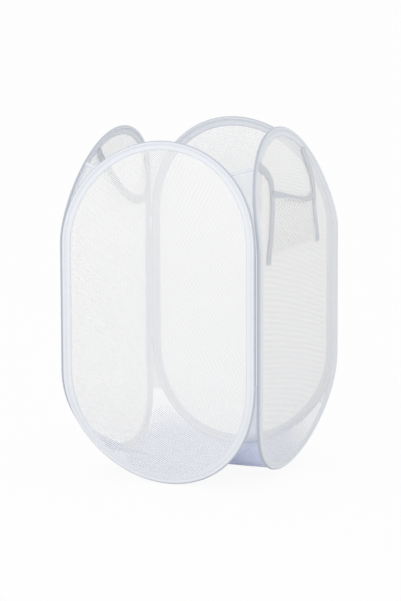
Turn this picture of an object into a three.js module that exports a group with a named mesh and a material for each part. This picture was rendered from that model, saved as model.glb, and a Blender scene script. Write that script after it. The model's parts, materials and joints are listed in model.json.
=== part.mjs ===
// Pop-up laundry hamper: four oval spring-wire hoops in fabric bindings, each
// holding a see-through mesh panel, sewn side to side into a square tower that
// springs open by itself and folds flat like a parallelogram.
// Millimetres, +Z up. The origin is the centre of the footprint on the ground.
// The front panel faces -Y, the right panel +X.
import * as THREE from 'three';
import { mergeVertices } from 'three/addons/utils/BufferGeometryUtils.js';

// Overall size
const HEIGHT = 600;
const WIDTH = 370;

// Gap that touching pieces keep
const CLEARANCE = 0.3;

// Mesh panel
const PANEL_THICKNESS = 0.8;

// Hoop binding: a tape rolled round the wire, its two legs hemming the panel
const BEAD_RADIUS = 3.2;
const BEAD_FLAT = 1.8;
const TAPE_THICKNESS = 0.6;
const BAND_WIDTH = 16.5;

// Hoop outline: straight sides and half-ellipse ends
const SIDE_LENGTH = 220;
const ARC_FACETS = 23;

// Flat spring wire inside the bead, and the crimped ferrule that joins its ends
const WIRE_WIDTH = 2.4;
const WIRE_THICKNESS = 0.7;
const FERRULE_WALL = 0.3;
const FERRULE_LENGTH = 26;

// Corded seam on each corner
const SEAM_RADIUS = 1.4;
const SEAM_SIDES = 8;

// Corner gussets, counted in facets of the hoop's end, and their top hems
const TOP_GUSSET_FACETS = 6;
const BOTTOM_GUSSET_FACETS = 4;
const GUSSET_THICKNESS = 0.8;
const GUSSET_HEM_DEPTH = 6;
const GUSSET_HEM_INSET = 1.5;

// Floor
const FLOOR_THICKNESS = 0.8;
const FLOOR_CENTRE = 14;
const FLOOR_RING_SHARES = [0.35, 0.7, 1];

// Webbing handle, hanging inside the left panel and leaning into the basket
const HANDLE_LEAN_DEGREES = 21;
const HANDLE_WIDTH = 11;
const HANDLE_THICKNESS = 1.2;
const HANDLE_SPAN = 180;
const HANDLE_DROP = 90;
const HANDLE_STEPS = 26;
const TAB_HEIGHT = 9;
const TAB_LAP = 6;
const TAB_THICKNESS = 1.2;

// Side pocket on the right panel, hung between two straps
const STRAP_WIDTH = 11;
const STRAP_THICKNESS = 1.2;
const STRAP_STEPS = 14;
const POCKET_SPAN = 180;
const POCKET_DROP = 165;
const POCKET_SEAM_DROP = 151;
const POCKET_THICKNESS = 0.6;
const MOUTH_WIDTH = 8;
const MOUTH_DROP = 73;
const MOUTH_SAG = 4;
const MOUTH_SKEW = 28;
const MOUTH_STEPS = 10;
const POCKET_ROWS = 6;
const POCKET_EDGE_GAP = 0.6;

// Plain fabric tag, hanging inside the right panel
const TAG_WIDTH = 34;
const TAG_LENGTH = 88;
const TAG_THICKNESS = 0.6;
const TAG_OFFSET = 96;

// Centre lines, all derived: the panels' planes, the hinge lines of the fold at
// the corners, and the bead's centre on the straight sides and at the ends
const PLANE = WIDTH / 2 - BEAD_RADIUS;
const HINGE = PLANE - BEAD_RADIUS - CLEARANCE;
const HALF_SPAN = HINGE - BEAD_RADIUS - CLEARANCE;
const MID_HEIGHT = HEIGHT / 2;
const END_RISE = MID_HEIGHT - SIDE_LENGTH / 2 - BEAD_RADIUS;
const ARC_STEP = Math.PI / ARC_FACETS;
const ARC_RISE = END_RISE / Math.cos(ARC_STEP / 2);
const EDGE = BEAD_RADIUS + CLEARANCE;
const SLOT_HALF = PANEL_THICKNESS / 2 + CLEARANCE;
const LEG_HALF = SLOT_HALF + TAPE_THICKNESS;
const LEG_END = BAND_WIDTH - BEAD_RADIUS;
const ON_LEG = LEG_HALF + CLEARANCE;

// Directions and turns; the sides follow each other by right angles about +Z
const RIGHT_ANGLE = Math.PI / 2;
const DIAGONAL = Math.SQRT1_2;
const UPWARD = new THREE.Vector3(0, 0, 1);
const SIDES = ['front', 'right', 'back', 'left'];

const looks = {
  binding: { color: 0xdfe4ec, roughness: 0.85, metalness: 0 },
  mesh: { color: 0xf2f3f4, roughness: 0.9, metalness: 0 },
  wire: { color: 0x9a9da3, roughness: 0.35, metalness: 0.9 },
  ferrule: { color: 0xb9bcc2, roughness: 0.3, metalness: 1 },
  gusset: { color: 0xe8ebf0, roughness: 0.85, metalness: 0 },
  floor: { color: 0xd5dae6, roughness: 0.85, metalness: 0 },
  webbing: { color: 0xd0d5df, roughness: 0.8, metalness: 0 },
  tag: { color: 0xe3e8f0, roughness: 0.7, metalness: 0 },
};

function piece(name, look, geometry) {
  const mesh = new THREE.Mesh(geometry, new THREE.MeshStandardMaterial(looks[look]));
  mesh.name = name;
  return mesh;
}

// Turns the faces of a closed surface outward if its rule has turned them in
function facingOut(geometry) {
  const { position } = geometry.attributes;
  const { index } = geometry;
  const corners = [new THREE.Vector3(), new THREE.Vector3(), new THREE.Vector3()];
  let volume = 0;
  for (let i = 0; i < index.count; i += 3) {
    corners.forEach((corner, k) => corner.fromBufferAttribute(position, index.getX(i + k)));
    volume += corners[0].dot(corners[1].cross(corners[2]));
  }
  if (volume < 0) {
    index.array.reverse();
  }
  return geometry;
}

// Moves the vertices of a closed grid by a rule and welds the ones that meet
function shaped(geometry, rule) {
  const { position } = geometry.attributes;
  for (let i = 0; i < position.count; i += 1) {
    const [x, y, z] = rule(new THREE.Vector3().fromBufferAttribute(position, i), i);
    position.setXYZ(i, x, y, z);
  }
  geometry.deleteAttribute('normal');
  geometry.deleteAttribute('uv');
  const welded = facingOut(mergeVertices(geometry));
  welded.computeVertexNormals();
  return welded;
}

// Offset of one unit to the left of a line through points, mitred at its bends
function mitres(points, closed) {
  const count = points.length;
  const left = (a, b) => new THREE.Vector2(a.y - b.y, b.x - a.x).normalize();
  return points.map((point, i) => {
    const before = closed || i > 0 ? left(points[(i + count - 1) % count], point) : null;
    const after = closed || i < count - 1 ? left(point, points[(i + 1) % count]) : null;
    if (!before) return after;
    if (!after) return before;
    return before.clone().add(after).divideScalar(1 + before.dot(after));
  });
}

// A sheet or strap: a thin closed slab that follows a line of points, bent by a
// rule that takes the place along the line, across it and through the thickness
function slab(along, across, rule) {
  const box = new THREE.BoxGeometry(1, 1, 1, across, 1, along);
  return shaped(box, (v) => rule(Math.round((v.z + 1 / 2) * along), v.x, v.y));
}

// Height and half-width of the hoop's line at a facet of its top or bottom end
function arcPoint(end, facet) {
  const angle = facet * ARC_STEP;
  const v = MID_HEIGHT + end * (SIDE_LENGTH / 2 + ARC_RISE * Math.sin(angle));
  return new THREE.Vector2(HALF_SPAN * Math.cos(angle), v);
}

// Height just under the upper bead, at a distance from the panel's middle
function underBead(across) {
  const half = HALF_SPAN * Math.cos(ARC_STEP / 2) - EDGE;
  const rise = (END_RISE - EDGE) * Math.sqrt(1 - (across / half) ** 2);
  return MID_HEIGHT + SIDE_LENGTH / 2 + rise;
}

// The hoop's closed line, seen from outside, anticlockwise
function hoopLine() {
  const points = [];
  for (let facet = 0; facet <= ARC_FACETS; facet += 1) {
    points.push(arcPoint(1, facet));
  }
  for (let facet = ARC_FACETS; facet >= 0; facet -= 1) {
    points.push(arcPoint(-1, facet));
  }
  return points;
}

const hoop = hoopLine();
const hoopInward = mitres(hoop, true);

// Shape of the soft handle loop as it hangs, from its front end to its back end,
// in shares of half the span and of the drop: a slanting leg, a rounded bottom
// and a straight leg
const HANDLE_LINE_SHARES = [
  [1, 0], [0.72, 0.24], [0.4, 0.5], [0.1, 0.73], [-0.22, 0.92],
  [-0.55, 1], [-0.84, 0.98], [-0.97, 0.86], [-0.99, 0.5], [-1, 0],
];

// Shapes of the pocket's two straps, from the hoop's binding down past the pocket
const NEAR_STRAP_SHARES = [
  [-1.14, 0], [-0.94, 0.08], [-0.76, 0.2], [-0.71, 0.36],
  [-0.77, 0.54], [-0.92, 0.72], [-1.08, 0.88], [-1.2, 1],
];
const FAR_STRAP_SHARES = [
  [1.06, -0.03], [1.16, 0.16], [1.2, 0.36], [1.18, 0.5], [1.12, 0.7], [1.1, 1],
];

// The handle and the pocket hang from where their outer corners meet the bead
const HANDLE_TOP = underBead((HANDLE_SPAN + HANDLE_WIDTH) / 2) - TAB_HEIGHT;
const POCKET_TOP = underBead((-NEAR_STRAP_SHARES[0][0] * POCKET_SPAN + STRAP_WIDTH) / 2);

// A point beside the hoop's line: inward in the panel's plane and out of it
function besideHoop(index, inward, outward) {
  const k = index % hoop.length;
  const point = hoop[k].clone().addScaledVector(hoopInward[k], inward);
  return [point.x, -PLANE - outward, point.y];
}

// Section of the binding, in outward and inward distances from the wire: round
// the bead, along one leg, back inside the wire's channel and out along the other
function bindingSection() {
  const outer = [];
  const opening = Math.asin(LEG_HALF / BEAD_RADIUS);
  for (const angle of [opening, (opening + RIGHT_ANGLE) / 2, RIGHT_ANGLE, RIGHT_ANGLE * 1.5]) {
    outer.push([BEAD_RADIUS * Math.sin(angle), BEAD_RADIUS * Math.cos(angle)]);
  }
  outer.push([BEAD_FLAT / 2, -BEAD_RADIUS]);
  const channel = BEAD_RADIUS - TAPE_THICKNESS;
  const slot = Math.asin(SLOT_HALF / channel);
  const inner = [];
  for (const angle of [slot, RIGHT_ANGLE * (1 - slot / Math.PI), RIGHT_ANGLE * 1.5]) {
    inner.push([channel * Math.sin(angle), channel * Math.cos(angle)]);
  }
  const half = [[SLOT_HALF, LEG_END], [LEG_HALF, LEG_END], ...outer];
  const mirror = ([n, r]) => [-n, r];
  const cavity = [...inner].reverse();
  return [
    ...half,
    ...[...half].reverse().map(mirror),
    ...inner.map(mirror),
    ...cavity,
  ];
}

function hoopBinding() {
  const section = bindingSection();
  const rings = hoop.length;
  const sides = section.length;
  const grid = new THREE.PlaneGeometry(1, 1, rings, sides);
  return shaped(grid, (v) => {
    const ring = Math.round((v.x + 1 / 2) * rings);
    const [outward, inward] = section[Math.round((1 / 2 - v.y) * sides) % sides];
    return besideHoop(ring, inward, outward);
  });
}

// The wire runs once round from the ferrule and back to it, its ends just apart
function hoopWire() {
  const last = hoop.length;
  return slab(last + 1, 1, (i, across, through) => {
    const inward = through * WIRE_THICKNESS;
    const outward = -across * WIRE_WIDTH;
    if (i > 0 && i <= last) return besideHoop(i - 1, inward, outward);
    const end = i === 0 ? CLEARANCE : -CLEARANCE;
    return [HALF_SPAN - inward, -PLANE - outward, MID_HEIGHT + end];
  });
}

function rectangle(width, height, Outline) {
  const outline = new Outline();
  outline.moveTo(-width / 2, -height / 2);
  outline.lineTo(width / 2, -height / 2);
  outline.lineTo(width / 2, height / 2);
  outline.lineTo(-width / 2, height / 2);
  outline.closePath();
  return outline;
}

function wireFerrule() {
  const holeWidth = WIRE_THICKNESS + 2 * CLEARANCE;
  const holeHeight = WIRE_WIDTH + 2 * CLEARANCE;
  const tube = rectangle(holeWidth + 2 * FERRULE_WALL, holeHeight + 2 * FERRULE_WALL, THREE.Shape);
  tube.holes.push(rectangle(holeWidth, holeHeight, THREE.Path));
  const geometry = new THREE.ExtrudeGeometry(tube, { depth: FERRULE_LENGTH, bevelEnabled: false });
  geometry.translate(HALF_SPAN, -PLANE, MID_HEIGHT - FERRULE_LENGTH / 2);
  return shaped(geometry, (v) => v.toArray());
}

// The mesh panel's edge lies between the binding's legs, clear of the bead
function meshPanel() {
  const edge = BEAD_RADIUS + TAPE_THICKNESS;
  const outline = hoop.map((point, k) => point.clone().addScaledVector(hoopInward[k], edge));
  const depth = { depth: PANEL_THICKNESS, bevelEnabled: false };
  const geometry = new THREE.ExtrudeGeometry(new THREE.Shape(outline), depth);
  geometry.rotateX(RIGHT_ANGLE);
  geometry.translate(0, PANEL_THICKNESS / 2 - PLANE, 0);
  return shaped(geometry, (v) => v.toArray());
}

// A point at the front right corner: out along the diagonal and across it
function cornerPoint(reach, across, height) {
  const x = (reach + across) * DIAGONAL;
  const y = (across - reach) * DIAGONAL;
  return [x, y, height];
}

function cornerSeam() {
  const length = SIDE_LENGTH - 2 * CLEARANCE;
  const geometry = new THREE.CylinderGeometry(SEAM_RADIUS, SEAM_RADIUS, length, SEAM_SIDES);
  geometry.rotateX(RIGHT_ANGLE);
  geometry.translate(HINGE, -HINGE, MID_HEIGHT);
  return shaped(geometry, (v) => v.toArray());
}

// Rulings of a gusset from bead to bead: how far out they lie, how high and how
// long they are, from the end of the seam on. They meet the sloping bead askew,
// so they stop short of its centre by more than the bead's own radius
function rulings(end, facets) {
  const rows = [];
  for (let facet = 0; facet <= facets; facet += 1) {
    const { x: u, y: height } = arcPoint(end, facet);
    const slope = arcPoint(end, facet + 1).sub(arcPoint(end, facet)).normalize();
    const trim = EDGE / Math.sqrt(1 - (slope.x * DIAGONAL) ** 2);
    rows.push({ reach: (PLANE + u) * DIAGONAL, height, half: (PLANE - u) * DIAGONAL - trim });
  }
  return rows;
}

function gussetProfile(rows) {
  const line = rows.map((row) => new THREE.Vector2(row.reach, row.height));
  return { line, side: mitres(line, false) };
}

function gusset(end, facets) {
  const rows = rulings(end, facets);
  const { line, side } = gussetProfile(rows);
  return slab(facets, 1, (i, across, through) => {
    const point = line[i].clone().addScaledVector(side[i], -through * end * GUSSET_THICKNESS);
    return cornerPoint(point.x, across * end * 2 * rows[i].half, point.y);
  });
}

// A tape folded over the gusset's upper edge, lying in the slope of its last facet
function gussetHem() {
  const rows = rulings(1, TOP_GUSSET_FACETS).slice(-2);
  const { line, side } = gussetProfile(rows);
  const up = line[1].clone().sub(line[0]).normalize();
  const narrowing = (rows[1].half - rows[0].half) / line[1].distanceTo(line[0]);
  const half = rows[1].half - narrowing * GUSSET_HEM_DEPTH - GUSSET_HEM_INSET;
  const slot = GUSSET_THICKNESS / 2 + CLEARANCE;
  const wall = slot + TAPE_THICKNESS;
  const outline = new THREE.Shape();
  outline.moveTo(-wall, -GUSSET_HEM_DEPTH);
  outline.lineTo(-slot, -GUSSET_HEM_DEPTH);
  outline.lineTo(-slot, CLEARANCE);
  outline.lineTo(slot, CLEARANCE);
  outline.lineTo(slot, -GUSSET_HEM_DEPTH);
  outline.lineTo(wall, -GUSSET_HEM_DEPTH);
  outline.lineTo(wall, CLEARANCE + TAPE_THICKNESS);
  outline.lineTo(-wall, CLEARANCE + TAPE_THICKNESS);
  outline.closePath();
  const depth = { depth: 2 * half, bevelEnabled: false };
  const geometry = new THREE.ExtrudeGeometry(outline, depth);
  return shaped(geometry, (v) => {
    const point = line[1].clone().addScaledVector(side[1], -v.x).addScaledVector(up, v.y);
    return cornerPoint(point.x, half - v.z, point.y);
  });
}

// The floor's edge along one side: beside the bead from gusset to gusset, and
// a straight chord across each corner just inside the gusset's lower edge
function floorSide() {
  const corner = rulings(-1, BOTTOM_GUSSET_FACETS)[BOTTOM_GUSSET_FACETS];
  const reach = corner.reach - GUSSET_THICKNESS - CLEARANCE;
  const [x, y, height] = cornerPoint(reach, -corner.half, corner.height);
  const points = [[-x, y, height]];
  for (let facet = ARC_FACETS - BOTTOM_GUSSET_FACETS - 1; facet > BOTTOM_GUSSET_FACETS; facet -= 1) {
    const point = arcPoint(-1, facet);
    points.push([point.x, EDGE - PLANE, point.y]);
  }
  points.push([x, y, height]);
  return points;
}

// Splits the quads of a turned body's later rows along their other diagonal. The
// upper face of a twisted sheet then bends where its lower face does, and the two
// keep their distance
function splitAlike(disc, rows, first) {
  const { array } = disc.index;
  for (let quad = 0; quad < array.length / 6; quad += 1) {
    if (quad % (rows - 1) >= first) {
      const [a, b, d, c] = array.slice(quad * 6, quad * 6 + 4);
      array.set([a, b, c, c, d, a], quad * 6);
    }
  }
}

function floorPanel() {
  const edge = [];
  SIDES.forEach((side, turn) => {
    for (const point of floorSide()) {
      edge.push(new THREE.Vector3(...point).applyAxisAngle(UPWARD, turn * RIGHT_ANGLE));
    }
  });
  const rings = FLOOR_RING_SHARES;
  const profile = [new THREE.Vector2(0, -1)];
  for (const share of rings) profile.push(new THREE.Vector2(share, -1));
  for (const share of [...rings].reverse()) profile.push(new THREE.Vector2(share, 1));
  profile.push(new THREE.Vector2(0, 1));
  const disc = new THREE.LatheGeometry(profile, edge.length);
  const rows = profile.length;
  splitAlike(disc, rows, rows / 2);
  return shaped(disc, (v, i) => {
    const column = Math.floor(i / rows) % edge.length;
    const share = profile[i % rows].x;
    const rise = FLOOR_CENTRE + (edge[column].z - FLOOR_CENTRE) * share * share;
    const through = (profile[i % rows].y * FLOOR_THICKNESS) / 2;
    return [edge[column].x * share, edge[column].y * share, rise + through];
  });
}

// A strap in the panel's plane along a line of points, its ends cut square or level
function strap(points, width, thickness, outward, level = false) {
  const sideways = mitres(points, false);
  if (level) {
    for (const end of [sideways[0], sideways[sideways.length - 1]]) end.set(Math.sign(end.x), 0);
  }
  return slab(points.length - 1, 1, (i, across, through) => {
    const point = points[i].clone().addScaledVector(sideways[i], -across * width);
    return [point.x, -PLANE - outward - thickness / 2 + through * thickness, point.y];
  });
}

// Points of a smooth line through places given as shares of a span and a drop
function curve(shares, span, top, drop, steps) {
  const places = shares.map(([x, z]) => new THREE.Vector2((x * span) / 2, top - z * drop));
  return new THREE.SplineCurve(places).getSpacedPoints(steps);
}

// The loop hangs over the inner face of its tabs, and leans inward from its top
function handleLoop() {
  const line = curve(HANDLE_LINE_SHARES, HANDLE_SPAN, HANDLE_TOP, HANDLE_DROP, HANDLE_STEPS);
  const inward = ON_LEG + TAB_THICKNESS + CLEARANCE + HANDLE_THICKNESS;
  const pivot = inward - HANDLE_THICKNESS / 2 - PLANE;
  const loop = strap(line, HANDLE_WIDTH, HANDLE_THICKNESS, -inward, true);
  loop.translate(0, -pivot, -HANDLE_TOP);
  loop.rotateX(THREE.MathUtils.degToRad(HANDLE_LEAN_DEGREES));
  return loop.translate(0, pivot, HANDLE_TOP);
}

// Tab that holds a handle's end: sewn to the binding, and lapped by the loop
function handleTab(side) {
  const middle = (side * HANDLE_SPAN) / 2;
  const top = new THREE.Vector2(middle, HANDLE_TOP + TAB_HEIGHT);
  const bottom = new THREE.Vector2(middle, HANDLE_TOP - TAB_LAP);
  return strap([top, bottom], HANDLE_WIDTH, TAB_THICKNESS, -ON_LEG - TAB_THICKNESS);
}

function pocketStrap(shares) {
  const line = curve(shares, POCKET_SPAN, POCKET_TOP, POCKET_DROP, STRAP_STEPS);
  return strap(line, STRAP_WIDTH, STRAP_THICKNESS, ON_LEG);
}

// Where a strap's edge lies at a height, on the pocket's side of the strap
function strapEdge(shares, side, height) {
  const line = curve(shares, POCKET_SPAN, POCKET_TOP, POCKET_DROP, STRAP_STEPS);
  const sideways = mitres(line, false);
  const edge = line.map((point, i) =>
    point.clone().addScaledVector(sideways[i], (-side * STRAP_WIDTH) / 2));
  for (let i = 1; i < edge.length; i += 1) {
    if (edge[i].y <= height) {
      const part = (edge[i - 1].y - height) / (edge[i - 1].y - edge[i].y);
      return edge[i - 1].x + (edge[i].x - edge[i - 1].x) * part;
    }
  }
  return edge[edge.length - 1].x;
}

// The mouth's line sags between the straps and falls towards the back
function mouthHeight(part) {
  const sag = 4 * part * (1 - part) * MOUTH_SAG;
  return POCKET_TOP - MOUTH_DROP + (1 / 2 - part) * MOUTH_SKEW - sag;
}

// A place on the pocket: its share of the way between the straps, and its height
function pocketPoint(part, height) {
  const near = strapEdge(NEAR_STRAP_SHARES, -1, height) + POCKET_EDGE_GAP;
  const far = strapEdge(FAR_STRAP_SHARES, 1, height) - POCKET_EDGE_GAP;
  return near + (far - near) * part;
}

function pocketMouth() {
  return slab(MOUTH_STEPS, 1, (i, across, through) => {
    const part = i / MOUTH_STEPS;
    const height = mouthHeight(part) + across * MOUTH_WIDTH;
    const outward = ON_LEG + (1 / 2 - through) * STRAP_THICKNESS;
    return [pocketPoint(part, height), -PLANE - outward, height];
  });
}

function pocketMesh() {
  const bottom = POCKET_TOP - POCKET_SEAM_DROP;
  return slab(MOUTH_STEPS, POCKET_ROWS, (i, across, through) => {
    const part = i / MOUTH_STEPS;
    const top = mouthHeight(part) - MOUTH_WIDTH / 2 - CLEARANCE;
    const height = bottom + (top - bottom) * (across + 1 / 2);
    const outward = ON_LEG + (1 / 2 - through) * POCKET_THICKNESS;
    return [pocketPoint(part, height), -PLANE - outward, height];
  });
}

// The tag's upper edge slants along the binding that it is sewn to
function fabricTag() {
  const bottom = underBead(TAG_OFFSET) - TAG_LENGTH;
  return slab(1, 1, (i, across, through) => {
    const place = across * TAG_WIDTH - TAG_OFFSET;
    const inward = ON_LEG + (1 / 2 + through) * TAG_THICKNESS;
    return [place, inward - PLANE, i === 0 ? bottom : underBead(place)];
  });
}

const hamper = new THREE.Group();

const panels = SIDES.map((side, turn) => {
  const next = SIDES[(turn + 1) % SIDES.length];
  const corner = `${side}_${next}`;
  const panel = new THREE.Group();
  panel.rotation.z = turn * RIGHT_ANGLE;
  panel.add(piece(`${side}_binding`, 'binding', hoopBinding()));
  panel.add(piece(`${side}_wire`, 'wire', hoopWire()));
  panel.add(piece(`${side}_ferrule`, 'ferrule', wireFerrule()));
  panel.add(piece(`${side}_mesh`, 'mesh', meshPanel()));
  panel.add(piece(`${corner}_seam`, 'binding', cornerSeam()));
  panel.add(piece(`${corner}_top_gusset`, 'gusset', gusset(1, TOP_GUSSET_FACETS)));
  panel.add(piece(`${corner}_top_hem`, 'binding', gussetHem()));
  panel.add(piece(`${corner}_bottom_gusset`, 'gusset', gusset(-1, BOTTOM_GUSSET_FACETS)));
  hamper.add(panel);
  return panel;
});

const right = panels[SIDES.indexOf('right')];
right.add(piece('pocket_strap_near', 'webbing', pocketStrap(NEAR_STRAP_SHARES)));
right.add(piece('pocket_strap_far', 'webbing', pocketStrap(FAR_STRAP_SHARES)));
right.add(piece('pocket_mouth', 'webbing', pocketMouth()));
right.add(piece('pocket_mesh', 'mesh', pocketMesh()));
right.add(piece('fabric_tag', 'tag', fabricTag()));

const left = panels[SIDES.indexOf('left')];
left.add(piece('left_handle', 'webbing', handleLoop()));
left.add(piece('handle_tab_front', 'webbing', handleTab(1)));
left.add(piece('handle_tab_back', 'webbing', handleTab(-1)));

hamper.add(piece('floor_panel', 'floor', floorPanel()));

export default hamper;
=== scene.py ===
"""Looks of the pop-up laundry hamper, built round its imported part.

Metres, +Z up, the front panel faces -Y. Each side is an oval spring-wire hoop in
a fabric binding that holds a see-through net. On the standing hamper the springs
lean inward at the top and the bottom, and gussets close the corners.
"""

import json
import logging
import math
from dataclasses import dataclass
from enum import Enum
from itertools import accumulate
from typing import Callable, ClassVar, Sequence, Union

import bmesh
import bpy
from mathutils import Euler, Matrix, Vector, noise
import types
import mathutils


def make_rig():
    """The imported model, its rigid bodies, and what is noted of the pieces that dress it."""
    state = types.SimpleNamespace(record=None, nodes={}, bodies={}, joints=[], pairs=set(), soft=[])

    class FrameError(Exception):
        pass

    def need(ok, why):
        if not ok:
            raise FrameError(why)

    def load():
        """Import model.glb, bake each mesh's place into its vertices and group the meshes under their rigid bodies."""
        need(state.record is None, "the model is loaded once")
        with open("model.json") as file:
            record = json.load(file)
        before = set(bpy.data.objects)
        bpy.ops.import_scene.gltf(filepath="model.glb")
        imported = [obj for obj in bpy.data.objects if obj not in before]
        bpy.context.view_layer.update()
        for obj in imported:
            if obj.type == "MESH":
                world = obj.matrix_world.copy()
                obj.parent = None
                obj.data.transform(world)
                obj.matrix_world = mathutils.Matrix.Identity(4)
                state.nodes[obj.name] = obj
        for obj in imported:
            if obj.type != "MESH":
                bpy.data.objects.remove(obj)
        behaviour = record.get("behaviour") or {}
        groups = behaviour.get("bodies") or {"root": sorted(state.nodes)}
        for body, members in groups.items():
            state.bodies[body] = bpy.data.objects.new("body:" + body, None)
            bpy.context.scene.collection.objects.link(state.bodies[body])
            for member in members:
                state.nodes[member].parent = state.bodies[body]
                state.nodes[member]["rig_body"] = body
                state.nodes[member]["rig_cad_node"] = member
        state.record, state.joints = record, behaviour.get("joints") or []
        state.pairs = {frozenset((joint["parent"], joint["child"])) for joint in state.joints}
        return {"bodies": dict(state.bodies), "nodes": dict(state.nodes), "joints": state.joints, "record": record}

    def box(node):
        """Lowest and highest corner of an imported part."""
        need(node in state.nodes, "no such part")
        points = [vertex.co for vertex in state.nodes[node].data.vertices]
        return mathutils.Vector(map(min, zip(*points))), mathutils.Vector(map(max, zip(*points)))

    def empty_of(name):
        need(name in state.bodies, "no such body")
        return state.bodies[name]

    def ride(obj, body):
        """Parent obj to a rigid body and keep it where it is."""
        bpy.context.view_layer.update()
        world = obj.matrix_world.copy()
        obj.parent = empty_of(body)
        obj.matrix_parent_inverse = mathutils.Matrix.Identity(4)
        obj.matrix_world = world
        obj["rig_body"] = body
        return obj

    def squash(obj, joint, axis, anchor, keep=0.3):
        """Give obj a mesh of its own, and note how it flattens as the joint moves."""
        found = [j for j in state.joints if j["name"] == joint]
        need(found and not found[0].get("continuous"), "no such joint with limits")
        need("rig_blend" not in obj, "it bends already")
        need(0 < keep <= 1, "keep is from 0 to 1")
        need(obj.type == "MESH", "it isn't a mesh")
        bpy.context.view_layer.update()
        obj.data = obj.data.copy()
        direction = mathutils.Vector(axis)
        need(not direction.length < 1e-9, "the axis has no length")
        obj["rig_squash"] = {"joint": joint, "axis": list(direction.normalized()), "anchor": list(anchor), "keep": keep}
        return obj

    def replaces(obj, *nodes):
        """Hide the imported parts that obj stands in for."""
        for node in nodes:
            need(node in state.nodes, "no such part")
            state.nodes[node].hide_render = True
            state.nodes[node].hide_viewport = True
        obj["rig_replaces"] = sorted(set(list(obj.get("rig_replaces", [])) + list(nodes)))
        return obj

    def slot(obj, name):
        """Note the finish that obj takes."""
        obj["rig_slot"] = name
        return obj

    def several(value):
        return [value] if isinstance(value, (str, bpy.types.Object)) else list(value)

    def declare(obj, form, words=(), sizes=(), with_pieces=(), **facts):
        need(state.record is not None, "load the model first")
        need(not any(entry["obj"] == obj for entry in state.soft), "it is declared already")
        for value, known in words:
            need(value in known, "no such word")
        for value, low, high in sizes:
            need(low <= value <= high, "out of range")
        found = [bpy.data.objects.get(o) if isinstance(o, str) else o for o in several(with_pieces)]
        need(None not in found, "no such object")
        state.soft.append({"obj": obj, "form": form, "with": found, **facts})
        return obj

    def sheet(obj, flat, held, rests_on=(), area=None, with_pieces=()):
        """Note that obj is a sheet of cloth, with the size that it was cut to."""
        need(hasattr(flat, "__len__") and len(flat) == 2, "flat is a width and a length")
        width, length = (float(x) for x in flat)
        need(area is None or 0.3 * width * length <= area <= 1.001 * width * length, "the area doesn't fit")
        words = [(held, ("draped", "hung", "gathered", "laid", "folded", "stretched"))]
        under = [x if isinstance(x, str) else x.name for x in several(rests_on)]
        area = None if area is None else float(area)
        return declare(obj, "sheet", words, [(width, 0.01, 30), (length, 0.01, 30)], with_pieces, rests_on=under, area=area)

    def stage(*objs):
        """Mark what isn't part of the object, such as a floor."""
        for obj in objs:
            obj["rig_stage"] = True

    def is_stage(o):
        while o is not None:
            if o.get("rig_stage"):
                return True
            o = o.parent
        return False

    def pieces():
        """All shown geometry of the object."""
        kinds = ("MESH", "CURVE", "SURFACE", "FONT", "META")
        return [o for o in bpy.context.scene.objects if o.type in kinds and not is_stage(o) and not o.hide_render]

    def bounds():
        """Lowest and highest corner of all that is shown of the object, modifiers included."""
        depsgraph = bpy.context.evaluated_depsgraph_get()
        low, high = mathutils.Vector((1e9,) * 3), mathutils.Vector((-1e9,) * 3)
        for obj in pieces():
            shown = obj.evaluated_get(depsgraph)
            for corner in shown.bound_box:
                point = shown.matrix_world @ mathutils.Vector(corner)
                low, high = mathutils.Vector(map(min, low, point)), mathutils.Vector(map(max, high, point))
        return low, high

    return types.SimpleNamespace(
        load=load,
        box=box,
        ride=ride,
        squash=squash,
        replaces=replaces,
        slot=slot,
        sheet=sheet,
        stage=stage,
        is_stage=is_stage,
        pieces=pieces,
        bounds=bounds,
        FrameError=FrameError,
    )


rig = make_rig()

LOG = logging.getLogger("hamper")
SIZE_FILE = "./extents.json"
RIGHT_ANGLE = math.pi / 2
MILLIMETRE = 0.001
CLOTH_MAP = "Cloth"
FOLD = "fold_front_right"
# Lengths below this are taken as none
TINY = 1e-12
# Share of a strap's thickness that its edges are rounded by
ROUNDED = 0.3

Piece = bpy.types.Object
Pair = tuple[float, float]
Place = Callable[[float, float], Vector]
Section = Sequence[Pair]
Cells = tuple[int, int]
Tree = bpy.types.NodeTree
Socket = bpy.types.NodeSocket
Outputs = bpy.types.NodeOutputs
Term = Union[float, str, Sequence[float], bpy.types.NodeSocket]


# Places and shapes


class Side(Enum):
    """The four hoop sides, in turns of a right angle from the front."""

    FRONT = 0
    RIGHT = 1
    BACK = 2
    LEFT = 3

    @property
    def label(self) -> str:
        """Name of the side, which is also its body's name."""
        return self.name.lower()

    @property
    def next(self) -> "Side":
        """The side that follows this one, anticlockwise from above."""
        return Side((self.value + 1) % len(Side))

    def place(self, across: float, outward: float, height: float) -> Vector:
        """Gives a point of this side in the hamper's own coordinates.

        Args:
            across: distance to the right of the side's middle, seen from outside.
            outward: distance out from the hamper's upright centre line.
            height: height above the ground.

        Returns:
            The point.
        """
        turn = Matrix.Rotation(self.value * RIGHT_ANGLE, 3, "Z")
        return turn @ Vector((across, -outward, height))


class End(Enum):
    """The two rounded ends of a hoop."""

    TOP = 1
    BOTTOM = -1


@dataclass(frozen=True)
class Bow:
    """How one side's spring bends: inward and down at its top, inward and up at its foot."""

    top_lean: float
    bottom_lean: float
    top_sink: float
    bottom_lift: float


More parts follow.
